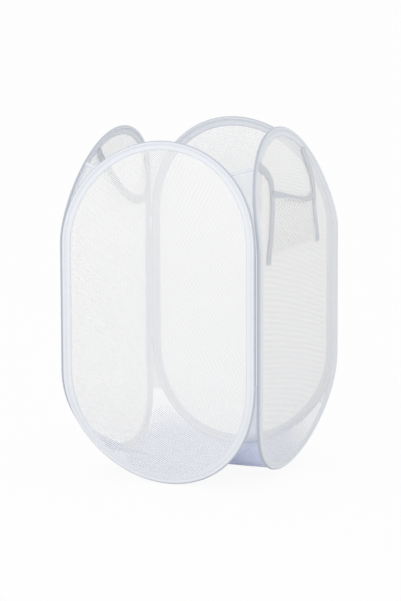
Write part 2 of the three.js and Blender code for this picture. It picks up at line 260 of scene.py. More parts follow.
@dataclass(frozen=True)
class HoopShape:
    """The line of a hoop's spring wire: straight sides and half-ellipse ends.

    Heights are those of the flat hoop; the bow then moves each place inward and
    down or up, more on some sides than on others.
    """

    half_span: float
    plane: float
    middle: float
    rise: float
    straight: float = 0.110
    bead: float = 0.0032
    top_easing: float = 0.15
    bottom_easing: float = 0.5
    arc_share: float = 0.36
    bows: ClassVar[dict[Side, Bow]] = {
        Side.FRONT: Bow(0.0299, 0.0387, 0.0106, 0.0),
        Side.RIGHT: Bow(0.0416, 0.0305, -0.0031, 0.0119),
        Side.BACK: Bow(0.0314, 0.0344, -0.0012, 0.014),
        Side.LEFT: Bow(0.0289, 0.0430, 0.0065, 0.020),
    }

    @classmethod
    def from_frame(cls) -> "HoopShape":
        """Reads the hoop's span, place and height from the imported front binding.

        Returns:
            The shape.
        """
        low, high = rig.box("front_binding")
        middle = (low[2] + high[2]) / 2
        return cls(
            half_span=high[0] - cls.bead,
            plane=-low[1] - cls.bead,
            middle=middle,
            rise=high[2] - middle - cls.straight - cls.bead,
        )

    def bent(self, height: float, easing: float) -> float:
        """Gives the share of the full bow at a height.

        Args:
            height: height on the flat hoop.
            easing: how gently the bow begins above or below the straight part.

        Returns:
            0 along the corner seams, and 1 at the hoop's top and foot.
        """
        past = (abs(height - self.middle) - self.straight) / self.rise
        if past <= 0:
            return 0.0
        return (math.hypot(past, easing) - easing) / (math.hypot(1, easing) - easing)

    def bowed(self, side: Side, height: float) -> Pair:
        """Gives where the bow brings a height of the flat hoop.

        Args:
            side: the hoop side.
            height: height on the flat hoop.

        Returns:
            The distance inward, and the height on the standing hamper.
        """
        bow = self.bows[side]
        share = self.bent(height, self.bottom_easing)
        if height > self.middle:
            inward = bow.top_lean * self.bent(height, self.top_easing)
            return inward, height - bow.top_sink * share
        return bow.bottom_lean * share, height + bow.bottom_lift * share

    def edge(self, end: End, angle: float, inset: float = 0.0) -> Pair:
        """Gives a point of the outline's rounded end.

        Args:
            end: the hoop's top or bottom.
            angle: turn up from the right-hand straight side, in radians.
            inset: distance inside the wire.

        Returns:
            Distance across the side, and height.
        """
        across = (self.half_span - inset) * math.cos(angle)
        beyond = self.straight + (self.rise - inset) * math.sin(angle)
        return across, self.middle + end.value * beyond

    def level(self, share: float, inset: float) -> Pair:
        """Gives the outline's half width at a share of the way up.

        Args:
            share: share of the way from the bottom to the top.
            inset: distance inside the wire.

        Returns:
            Half width and height.
        """
        arc = self.arc_share
        if share < arc:
            return self.edge(End.BOTTOM, RIGHT_ANGLE * (1 - share / arc), inset)
        if share > 1 - arc:
            return self.edge(End.TOP, RIGHT_ANGLE * (share - 1 + arc) / arc, inset)
        up = (share - arc) / (1 - 2 * arc) * 2 - 1
        return self.half_span - inset, self.middle + up * self.straight

    def loop(self, arc_steps: int, side_steps: int) -> list[Vector]:
        """Gives the wire's closed line across and up the side, anticlockwise.

        Args:
            arc_steps: steps round each rounded end.
            side_steps: steps up each straight side.

        Returns:
            Points across and up, the first one not repeated.
        """
        points = []
        for end in End:
            for step in range(arc_steps):
                angle = math.pi * step / arc_steps
                angle = angle if end is End.TOP else math.pi - angle
                points.append(Vector(self.edge(end, angle)))
            across = -end.value * self.half_span
            for step in range(side_steps):
                up = end.value * (1 - 2 * step / side_steps) * self.straight
                points.append(Vector((across, self.middle + up)))
        return points

    def on(self, side: Side, across: float, height: float, proud: float = 0.0) -> Vector:
        """Gives the place of a flat side's point, some way out from its middle plane."""
        inward, height = self.bowed(side, height)
        return side.place(across, self.plane - inward + proud, height)


class SmoothLine:
    """A line that runs smoothly through points, read by share of its length."""

    steps: ClassVar[int] = 16

    def __init__(self, points: Sequence[Sequence[float]]) -> None:
        """Samples a Catmull-Rom curve through the points.

        Args:
            points: the places that the line runs through.
        """
        knots = [Vector(p) for p in points]
        knots = [2 * knots[0] - knots[1], *knots, 2 * knots[-1] - knots[-2]]
        self.samples = [knots[1]]
        for a, b, c, d in zip(knots, knots[1:], knots[2:], knots[3:]):
            for step in range(1, self.steps + 1):
                t = step / self.steps
                bend = 2 * a - 5 * b + 4 * c - d
                twist = 3 * b - a - 3 * c + d
                self.samples.append((2 * b + (c - a) * t + bend * t**2 + twist * t**3) / 2)
        pairs = zip(self.samples, self.samples[1:])
        self.lengths = [0.0, *accumulate((b - a).length for a, b in pairs)]

    @property
    def length(self) -> float:
        """Length of the whole line."""
        return self.lengths[-1]

    def at(self, share: float) -> Vector:
        """Gives a point of the line.

        Args:
            share: share of the line's length.

        Returns:
            The point.
        """
        goal = min(max(share, 0.0), 1.0) * self.length
        last = next((i for i, v in enumerate(self.lengths) if v >= goal), len(self.lengths) - 1)
        last = max(last, 1)
        span = self.lengths[last] - self.lengths[last - 1]
        part = (goal - self.lengths[last - 1]) / max(span, TINY)
        return self.samples[last - 1].lerp(self.samples[last], part)

    def along(self, share: float, step: float = 0.01) -> Vector:
        """Gives the line's direction at a share of its length."""
        return (self.at(share + step) - self.at(share - step)).normalized()


def in_scene(name: str, data: bpy.types.ID) -> Piece:
    """Makes an object of its data and puts it in the scene.

    Args:
        name: the object's name.
        data: its mesh, lamp or camera.

    Returns:
        The object.
    """
    made = bpy.data.objects.new(name, data)
    bpy.context.scene.collection.objects.link(made)
    return made


def bent_grid(name: str, cells: Cells, place: Place, flat: Place, closed: bool = False) -> Piece:
    """Bends a flat grid of cells to a surface and lays its UV map out flat.

    Args:
        name: the piece's name.
        cells: cells along the first and the second share.
        place: gives the point for two shares from 0 to 1.
        flat: gives the place on the flat cloth, in metres, for the same shares.
        closed: True where the grid closes to a solid, whose faces then turn out.

    Returns:
        The new object.
    """
    mesh = bmesh.new()
    cloth = mesh.loops.layers.uv.new(CLOTH_MAP)
    start = Matrix.Translation((0.5, 0.5, 0))
    bmesh.ops.create_grid(mesh, x_segments=cells[0], y_segments=cells[1], size=0.5, matrix=start)
    for face in mesh.faces:
        face.smooth = True
        for corner in face.loops:
            corner[cloth].uv = flat(corner.vert.co.x, corner.vert.co.y)[:2]
    for vertex in mesh.verts:
        vertex.co = place(vertex.co.x, vertex.co.y)
    bmesh.ops.remove_doubles(mesh, verts=mesh.verts, dist=MILLIMETRE / 1000)
    if closed:
        bmesh.ops.recalc_face_normals(mesh, faces=mesh.faces)
    data = bpy.data.meshes.new(name)
    mesh.to_mesh(data)
    mesh.free()
    return in_scene(name, data)


def thicken(piece: Piece, thickness: float) -> None:
    """Gives a sheet its thickness, half to each side, and rounds its edges.

    Args:
        piece: the sheet.
        thickness: its thickness.
    """
    wall = piece.modifiers.new("Thickness", "SOLIDIFY")
    wall.thickness = thickness
    wall.offset = 0
    wall.use_even_offset = True
    rounding = piece.modifiers.new("Soft edges", "BEVEL")
    rounding.width = thickness * ROUNDED
    rounding.segments = 2
    rounding.limit_method = "ANGLE"
    graph = bpy.context.evaluated_depsgraph_get()
    solid = bpy.data.meshes.new_from_object(piece.evaluated_get(graph))
    piece.modifiers.clear()
    piece.data = solid


# Finishes


def linear(colour: str) -> tuple[float, float, float, float]:
    """Turns an sRGB hex colour to the linear values that the shaders take.

    Args:
        colour: # and six digits.

    Returns:
        Red, green, blue and alpha.
    """
    channels = [int(colour[i : i + 2], 16) / 255 for i in (1, 3, 5)]
    turned = [c / 12.92 if c <= 0.04045 else ((c + 0.055) / 1.055) ** 2.4 for c in channels]
    return (*turned, 1.0)


def add(tree: Tree, kind: str, *terms: Term, **named: Term) -> Outputs:
    """Adds a shader node with its settings and links.

    Args:
        tree: the material's or world's nodes.
        kind: the node's type name, without the part that all share.
        terms: values, or sockets to link, for its first inputs in their order.
        named: settings of the node, and values or sockets to link for its inputs by
            name, with _ for a space, or by number after a _.

    Returns:
        The node's outputs.
    """
    node = tree.nodes.new(f"ShaderNode{kind}")
    inputs = dict(enumerate(terms))
    for key, value in named.items():
        if hasattr(node, key):
            setattr(node, key, value)
        else:
            inputs[int(key[1:]) if key[1:].isdigit() else key.replace("_", " ")] = value
    for key, value in inputs.items():
        if isinstance(value, bpy.types.NodeSocket):
            tree.links.new(value, node.inputs[key])
        else:
            node.inputs[key].default_value = value
    return node.outputs


def background_rays(tree: Tree) -> Socket:
    """Gives 1 for rays that show the background itself, by sight or mirrored.

    Args:
        tree: the material's or world's nodes.

    Returns:
        The share.
    """
    path = add(tree, "LightPath")
    sight, glossy = path["Is Camera Ray"], path["Is Glossy Ray"]
    mirrored = add(tree, "Math", sight, glossy, operation="MAXIMUM")[0]
    return add(tree, "Math", mirrored, path["Is Transmission Ray"], operation="MAXIMUM")[0]


@dataclass(frozen=True)
class Finish:
    """What every finish has: the name of the real material and its base colour."""

    name: str
    colour: str

    def material(self) -> bpy.types.Material:
        """Makes the material, or gives the one already made.

        Returns:
            The material.
        """
        made = bpy.data.materials.get(self.name)
        if made:
            return made
        made = bpy.data.materials.new(self.name)
        made.use_nodes = True
        made.node_tree.nodes.clear()
        add(made.node_tree, "OutputMaterial", Surface=self.surface(made.node_tree))
        return made

    def surface(self, tree: Tree) -> Socket:
        """Builds the shader; each finish has its own."""
        raise NotImplementedError

    def dress(self, piece: Piece) -> None:
        """Gives a piece or a node of the frame this finish.

        Args:
            piece: the piece or the node's object.
        """
        if piece.data.materials:
            for slot in piece.material_slots:
                slot.material = self.material()
        else:
            piece.data.materials.append(self.material())


@dataclass(frozen=True)
class KnittedNet(Finish):
    """Warp-knitted polyester net: fine white threads that cross at small knots."""

    pitch: float = 2.8 * MILLIMETRE
    thread: float = 1.0 * MILLIMETRE
    slant: float = math.radians(58)
    unevenness: float = 0.9 * MILLIMETRE
    knot: float = 0.12
    softness: float = 0.15

    def surface(self, tree: Tree) -> Socket:
        """Draws two families of slanting threads and leaves the cells open.

        The real pitch is about 2.5 mm, and about 3.5 mm for the pocket. The sides are
        drawn slightly coarser and the pocket twice as coarse, so that the picture
        shows them.

        Args:
            tree: the material's nodes.

        Returns:
            The shader.
        """
        cloth = add(tree, "UVMap", uv_map=CLOTH_MAP)["UV"]
        wander = add(tree, "TexNoise", Vector=cloth, Scale=45.0, Detail=1.0)["Color"]
        centred = add(tree, "VectorMath", wander, (0.5,) * 3, operation="SUBTRACT")[0]
        strength = (2 * self.unevenness,) * 3
        moved = add(tree, "VectorMath", centred, strength, cloth, operation="MULTIPLY_ADD")[0]
        gaps = []
        for lean in (1, -1):
            way = Vector((math.cos(self.slant), lean * math.sin(self.slant), 0)) / self.pitch
            count = add(tree, "VectorMath", moved, way, operation="DOT_PRODUCT")["Value"]
            gaps.append(add(tree, "Math", count, 0.5, operation="PINGPONG")[0])
        nearest = add(tree, "Math", *gaps, self.knot, operation="SMOOTH_MIN")[0]
        half = self.thread / self.pitch / 2
        outer, inner = half * (1 + self.softness), half * (1 - self.softness)
        cover = add(tree, "MapRange", nearest, outer, inner, interpolation_type="SMOOTHSTEP")[0]
        height = add(tree, "MapRange", nearest, half, 0.0)[0]
        return add(
            tree,
            "BsdfPrincipled",
            Base_Color=linear(self.colour),
            Roughness=0.6,
            Sheen_Weight=0.25,
            Sheen_Roughness=0.5,
            Alpha=cover,
            Normal=add(tree, "Bump", Height=height, Strength=0.5, Distance=self.thread / 2)[0],
        )[0]


@dataclass(frozen=True)
class WovenCloth(Finish):
    """Plain-woven polyester cloth, more or less sheer."""

    shade: str
    cover: float
    weave: float = 1.2 * MILLIMETRE
    crease: float = 0.4
    grain_relief: float = 0.12
    uneven_cover: float = 0.1
    sheer_from: float = 0.0
    sheer_to: float = 0.0
    sheer_share: float = 0.25

    def surface(self, tree: Tree) -> Socket:
        """Weaves warp and weft, and mottles the cloth as thin cloth is.

        The real threads are 0.1 to 0.2 mm apart, so the weave is drawn several
        times coarser, as a fine grain. A square cloth can get sheerer toward its
        corners, by the sum of the distances from its middle.

        Args:
            tree: the material's nodes.

        Returns:
            The shader.
        """
        cloth = add(tree, "UVMap", uv_map=CLOTH_MAP)["UV"]
        turns = (math.tau / self.weave,) * 3
        count = add(tree, "VectorMath", cloth, turns, operation="MULTIPLY")[0]
        axes = add(tree, "SeparateXYZ", count)
        waves = [add(tree, "Math", axes[i], operation="SINE")[0] for i in (0, 1)]
        grain = add(tree, "Math", *waves, operation="MULTIPLY")[0]
        mottled = add(tree, "TexNoise", Vector=cloth, Scale=60.0, Detail=4.0)[0]
        creased = add(tree, "TexNoise", Vector=cloth, Scale=22.0, Detail=3.0, Distortion=0.6)[0]
        light, dark = linear(self.colour), linear(self.shade)
        tone = add(tree, "Mix", mottled, _6=light, _7=dark, data_type="RGBA")[2]
        raised = add(tree, "Math", grain, self.grain_relief, creased, operation="MULTIPLY_ADD")[0]
        bump = add(tree, "Bump", Height=raised, Strength=self.crease, Distance=1.5 * MILLIMETRE)[0]
        least, most = self.cover - self.uneven_cover, self.cover + self.uneven_cover
        cover = add(tree, "MapRange", grain, -1.0, 1.0, least, most)[0]
        if self.sheer_to:
            unsigned = add(tree, "VectorMath", cloth, operation="ABSOLUTE")[0]
            reach = add(tree, "VectorMath", unsigned, (1, 1, 0), operation="DOT_PRODUCT")["Value"]
            ends = (self.sheer_from, self.sheer_to, 1.0, self.sheer_share)
            kept = add(tree, "MapRange", reach, *ends)[0]
            cover = add(tree, "Math", cover, kept, operation="MULTIPLY")[0]
        return add(
            tree,
            "BsdfPrincipled",
            Base_Color=tone,
            Roughness=0.62,
            Sheen_Weight=0.3,
            Sheen_Roughness=0.4,
            Alpha=cover,
            Normal=bump,
        )[0]


@dataclass(frozen=True)
class SewnTape(Finish):
    """Polyester binding tape over the wire, with two rows of lockstitch."""

    # Colour of the painted shade on the bead's outer rim
    shade: str = "#b9bfca"
    thread: str = "#d3d8e1"
    stitch_rows: tuple[float, ...] = (4.6 * MILLIMETRE, 12.0 * MILLIMETRE)
    stitch: float = 4.0 * MILLIMETRE
    bead: float = 3.2 * MILLIMETRE
    # How far out past the wire, in bead radii, the painted rim shade is full
    over_wire: float = 1.1
    uneven_tone: float = 0.15
    gap_end: float = 0.12
    dash_start: float = 0.2
    line_edge: float = 0.6 * MILLIMETRE
    line_core: float = 0.2 * MILLIMETRE
    fibre_relief: float = 0.35

    def surface(self, tree: Tree) -> Socket:
        """Paints shade on the bead's outer rim past the wire, and draws the dashes of the stitching.

        The map's first axis runs along the tape and its second inward from the
        wire. The stitches are drawn somewhat longer and wider than 3 mm by
        0.3 mm, so that they show.

        Args:
            tree: the material's nodes.

        Returns:
            The shader.
        """
        cloth = add(tree, "UVMap", uv_map=CLOTH_MAP)["UV"]
        axes = add(tree, "SeparateXYZ", cloth)
        # Painted shade: the tape darkens from the wire's line out to the bead's outer rim
        edge = -self.over_wire * self.bead
        over = add(tree, "MapRange", axes[1], 0.0, edge, interpolation_type="SMOOTHSTEP")[0]
        mottled = add(tree, "TexNoise", Vector=cloth, Scale=90.0, Detail=3.0)[0]
        tone_and_rim_shade = add(tree, "Math", mottled, self.uneven_tone, over, operation="MULTIPLY_ADD")[0]
        light, dark = linear(self.colour), linear(self.shade)
        tone = add(tree, "Mix", tone_and_rim_shade, _6=light, _7=dark, data_type="RGBA")[2]
        dashes = add(tree, "Math", axes[0], self.stitch / 2, operation="PINGPONG")[0]
        start, full = self.stitch * self.gap_end, self.stitch * self.dash_start
        dash = add(tree, "MapRange", dashes, start, full)[0]
        rows = 0.0
        for row in self.stitch_rows:
            apart = add(tree, "Math", axes[1], row, operation="SUBTRACT")[0]
            near = add(tree, "Math", apart, operation="ABSOLUTE")[0]
            line = add(tree, "MapRange", near, self.line_edge, self.line_core)[0]
            rows = add(tree, "Math", rows, line, operation="MAXIMUM")[0]
        height = add(tree, "Math", rows, dash, operation="MULTIPLY")[0]
        thread = linear(self.thread)
        sewn = add(tree, "Mix", height, _6=tone, _7=thread, data_type="RGBA")[2]
        fibres = add(tree, "TexNoise", Vector=cloth, Scale=900.0, Detail=2.0)[0]
        raised = add(tree, "Math", fibres, self.fibre_relief, height, operation="MULTIPLY_ADD")[0]
        bump = add(tree, "Bump", Height=raised, Strength=0.35, Distance=0.4 * MILLIMETRE)[0]
        return add(
            tree,
            "BsdfPrincipled",
            Base_Color=sewn,
            Roughness=0.55,
            Sheen_Weight=0.3,
            Sheen_Roughness=0.4,
            Normal=bump,
        )[0]


@dataclass(frozen=True)
class Webbing(Finish):
    """Woven polypropylene webbing, ribbed across in a herringbone of its threads."""

    shade: str
    rib: float = 3.0 * MILLIMETRE
    herringbone: float = 11.0 * MILLIMETRE

    def surface(self, tree: Tree) -> Socket:
        """Draws slanting ribs that turn back in a herringbone.

        The real ribs are about 1.5 mm apart; they are drawn at twice that.

        Args:
            tree: the material's nodes.

        Returns:
            The shader.
        """
        axes = add(tree, "SeparateXYZ", add(tree, "UVMap", uv_map=CLOTH_MAP)["UV"])
        folded = add(tree, "Math", axes[1], self.herringbone / 2, operation="PINGPONG")[0]
        run = add(tree, "Math", axes[0], folded, operation="ADD")[0]
        count = add(tree, "Math", run, math.tau / self.rib, operation="MULTIPLY")[0]
        ribs = add(tree, "Math", count, operation="SINE")[0]
        share = add(tree, "MapRange", ribs, -1.0, 0.6)[0]
        dark, light = linear(self.shade), linear(self.colour)
        return add(
            tree,
            "BsdfPrincipled",
            Base_Color=add(tree, "Mix", share, _6=dark, _7=light, data_type="RGBA")[2],
            Roughness=0.5,
            Sheen_Weight=0.2,
            Sheen_Roughness=0.4,
            Normal=add(tree, "Bump", Height=ribs, Strength=0.6, Distance=0.4 * MILLIMETRE)[0],
        )[0]


@dataclass(frozen=True)
class DrawnSteel(Finish):
    """Galvanised spring steel, drawn flat: fine lines run along the wire."""

    smoothest: float = 0.26
    roughest: float = 0.46

    def surface(self, tree: Tree) -> Socket:
        """Streaks the roughness along the height of the piece.

        Args:
            tree: the material's nodes.

        Returns:
            The shader.
        """
        place = add(tree, "TexCoord")["Object"]
        streak = add(tree, "Mapping", Vector=place, Scale=(2500.0, 2500.0, 60.0))[0]
        lines = add(tree, "TexNoise", Vector=streak, Scale=1.0, Detail=2.0)[0]
        rough = add(tree, "MapRange", lines, 0.0, 1.0, self.smoothest, self.roughest)[0]
        base = linear(self.colour)
        return add(tree, "BsdfPrincipled", Base_Color=base, Metallic=1.0, Roughness=rough)[0]


@dataclass(frozen=True)
class PaperSweep(Finish):
    """Matt studio paper, which shows nearly white where it is looked at."""

    whiteness: float = 0.92

    def surface(self, tree: Tree) -> Socket:
        """Keeps the hamper's shadow in what isn't white.

        Args:
            tree: the material's nodes.

        Returns:
            The shader.
        """
        paper = add(tree, "BsdfDiffuse", Color=linear(self.colour))[0]
        white = add(tree, "Emission", Strength=1.0)[0]
        share = add(tree, "Math", background_rays(tree), self.whiteness, operation="MULTIPLY")[0]
        return add(tree, "MixShader", share, paper, white)[0]


NET = KnittedNet("Warp-knitted polyester net", "#fafafa")
CROSSWISE_NET = KnittedNet(
    "Warp-knitted polyester net, cut across", "#fafafa", slant=math.radians(32)
)
POCKET_NET = KnittedNet("Pocket net", "#fafafa", pitch=7.0 * MILLIMETRE, thread=2.8 * MILLIMETRE)
# The binding tape gets painted shade on its bead's outer rim
TAPE = SewnTape("Polyester binding tape", "#e7eaef")
SHEER = WovenCloth("Sheer polyester gusset", "#f8f9fc", "#e4e8f0", cover=0.4)
LOWER_CLOTH = WovenCloth("Polyester lower gusset", "#eff2fa", "#e3e8f3", cover=0.5)
GROUND_CLOTH = WovenCloth(
    "Polyester floor cloth", "#d4dbf4", "#bfc9ea", cover=0.84, sheer_from=0.20, sheer_to=0.28
)
SATIN = WovenCloth("Satin tag ribbon", "#f4f6fa", "#e9edf4", cover=0.5)
STRAP = Webbing("Polypropylene webbing", "#eceef1", "#b3b9c5")
STEEL = DrawnSteel("Galvanised spring steel", "#a6a9af")
# The piping gets the same painted shade on its bead's outer rim
PIPING = SewnTape("Corner piping tape", "#f2f4f8", stitch_rows=())
PAPER = PaperSweep("White paper sweep", "#ededed")


# The hamper's pieces


@dataclass
class SoftPiece:
    """Shares what each soft piece does when the hamper folds flat."""

    hoop: HoopShape
    flattened: ClassVar[float] = 0.1
    folded: ClassVar[float] = 0.03
    webbing_thickness: ClassVar[float] = 0.0012
    gusset_angle: ClassVar[dict[End, float]] = {
        End.TOP: math.radians(46.96),
        End.BOTTOM: math.radians(31.3),
    }

    @staticmethod
    def name_part(piece: Piece, finish: Finish, node: str, slot: str) -> None:
        """Dresses a piece, and says what it stands for.

        Args:
            piece: the piece.
            finish: its finish.
            node: the part's node that it replaces.
            slot: its material slot.
        """
        finish.dress(piece)
        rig.replaces(piece, node)
        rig.slot(piece, slot)

    def strap(
        self, name: str, node: str, line: SmoothLine, facing: Vector, width: float, cells: Cells
    ) -> Piece:
        """Makes a strap of real thickness that follows a line.

        Args:
            name: the piece's name.
            node: the part's node that it replaces.
            line: the strap's middle line.
            facing: the direction that the strap's face looks in.
            width: width of the strap.
            cells: cells along the strap and across it.

        Returns:
            The strap, its edges rounded.
        """

        def place(share: float, over: float) -> Vector:
            """Gives a point of the strap's middle sheet."""
            across = line.along(share).cross(facing).normalized()
            return line.at(share) + across * (over - 0.5) * width

        def flat(share: float, over: float) -> Vector:
            """Gives the place on the flat strap."""
            return Vector((share * line.length, over * width, 0))

        piece = bent_grid(name, cells, place, flat)
        thicken(piece, self.webbing_thickness)
        self.name_part(piece, STRAP, node, "webbing")
        return piece

    @staticmethod
    def sheet(piece: Piece, flat: Pair, rests_on: list[str], held: str = "stretched") -> None:
        """Declares a sheet with its flat size; nothing has stretched its mesh."""
        area = sum(face.area for face in piece.data.polygons)
        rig.sheet(piece, flat=flat, held=held, rests_on=rests_on, area=area)

    def carry(self, piece: Piece, side: Side, body: str = "", keep: float = flattened) -> None:
        """Lets a piece ride on a side, and pulls it straight as the side folds away.

        Args:
            piece: the finished piece.
            side: the hoop side whose plane it flattens to.
            body: the body that it rides on, if not the side's own.
            keep: the share of its depth that it keeps.
        """
        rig.ride(piece, body or side.label)
        inward = side.place(0, -1, 0)
        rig.squash(piece, FOLD, axis=inward, anchor=side.place(0, self.hoop.plane, 0), keep=keep)


@dataclass
class HoopSide(SoftPiece):
    """One side: the spring wire, its sewn binding and the net that it holds."""

    side: Side
    band: float = 0.0165
    leg: float = 0.0011
    pucker: float = 0.0005
    wire_width: float = 0.0024
    wire_thickness: float = 0.0007
    net_inset: float = 0.006
    arc_steps: int = 56
    side_steps: int = 14
    bead_steps: int = 14
    leg_shares: tuple[float, ...] = (0.36, 0.55, 0.75, 0.93)
    pucker_scale: float = 45.0
    side_apart: float = 7.0
    net_cells: Cells = (24, 48)

    def rings(self) -> list[tuple[Vector, Vector]]:
        """Gives the wire's closed line with its inward directions.

        Returns:
            Points across and up the side, each with the way inward there.
        """
        loop = self.hoop.loop(self.arc_steps, self.side_steps)
        rings = []
        for i, point in enumerate(loop):
            ahead = loop[(i + 1) % len(loop)] - loop[i - 1]
            rings.append((point, Vector((-ahead.y, ahead.x)).normalized()))
        return rings

    def section(self) -> Section:
        """Gives the binding's outline: a bead, and two legs that hold the net.

        Returns:
            Distances inward and outward from the wire.
        """
        bead = self.hoop.bead
        neck = math.asin(self.leg / bead)
        outline = []
        for step in range(self.bead_steps + 1):
            angle = neck + (math.tau - 2 * neck) * step / self.bead_steps
            outline.append((bead * math.cos(angle), bead * math.sin(angle)))
        reach = self.band - bead
        legs = [(reach * share, -self.leg) for share in self.leg_shares]
        tip = [(reach, -self.leg / 2), (reach, self.leg / 2)]
        back = [(inward, -proud) for inward, proud in reversed(legs)]
        return [*outline, *legs, *tip, *back]

    def swept(self, name: str, section: Section, ripple: float) -> Piece:
        """Sweeps a closed section round the hoop.

        Args:
            name: the piece's name.
            section: distances inward and outward from the wire.
            ripple: how far the cloth's inner edge wanders from its plane.

        Returns:
            The closed ring.
        """
        rings = self.rings()
        pairs = zip(rings, rings[1:] + rings[:1])
        lengths = [0.0, *accumulate((b - a).length for (a, _), (b, _) in pairs)]

        def corner(share: float) -> Pair:
            """Gives the section's corner at a share of the way round it."""
            return section[round(share * len(section)) % len(section)]

        def place(around: float, over: float) -> Vector:
            """Gives a point of the ring.

            Args:
                around: share of the way round the hoop.
                over: share of the way round the section.

            Returns:
                The point.
            """
            index = round(around * len(rings)) % len(rings)
            point, inward_way = rings[index]
            inward, proud = corner(over)
            spot = point + inward_way * inward
            loose = max(0.0, inward / self.band) ** 2
            where = (*(point * self.pucker_scale), self.side.value * self.side_apart)
            wander = noise.noise(Vector(where))
            return self.hoop.on(self.side, *spot, proud + ripple * loose * wander)

        def flat(around: float, over: float) -> Vector:
            """Gives the place along the ring and inward from the wire."""
            return Vector((lengths[round(around * len(rings))], corner(over)[0], 0))

        return bent_grid(name, (len(rings), len(section)), place, flat, closed=True)

    def binding(self) -> None:
        """Makes the rolled tape with its bead and legs."""
        label = self.side.label
        piece = self.swept(f"{label}_binding_tape", self.section(), self.pucker)
        self.name_part(piece, TAPE, f"{label}_binding", "binding")
        self.carry(piece, self.side)

    def wire(self) -> None:
        """Makes the flat spring wire inside the bead."""
        label = self.side.label
        half = (self.wire_thickness / 2, self.wire_width / 2)
        section = [(a * half[0], b * half[1]) for a, b in ((-1, -1), (1, -1), (1, 1), (-1, 1))]
        piece = self.swept(f"{label}_spring_wire", section, 0.0)
        self.name_part(piece, STEEL, f"{label}_wire", "wire")
        self.carry(piece, self.side)

    def net(self) -> None:
        """Makes the net panel, stretched across the hoop."""
        label = self.side.label

        def spot(over: float, up: float) -> Pair:
            """Gives the place across and up the flat panel."""
            half, height = self.hoop.level(up, self.net_inset)
            return (2 * over - 1) * half, height

        def place(over: float, up: float) -> Vector:
            """Gives the place on the leaning panel."""
            return self.hoop.on(self.side, *spot(over, up))

        def flat(over: float, up: float) -> Vector:
            """Gives the place on the flat net."""
            return Vector((*spot(over, up), 0))

        piece = bent_grid(f"{label}_net", self.net_cells, place, flat)
        finish = NET if self.side in (Side.FRONT, Side.RIGHT) else CROSSWISE_NET
        self.name_part(piece, finish, f"{label}_mesh", "mesh")
        size = (2 * self.hoop.half_span, 2 * (self.hoop.straight + self.hoop.rise))
        self.sheet(piece, size, [f"{label}_binding_tape"])
        self.carry(piece, self.side)

    def build(self, frame: dict) -> None:
        """Builds the side and dresses the ferrule that stays.
        """
        self.binding()
        self.wire()
        self.net()
        STEEL.dress(frame["nodes"][f"{self.side.label}_ferrule"])
        LOG.info("%s side: binding, wire and net", self.side.label)


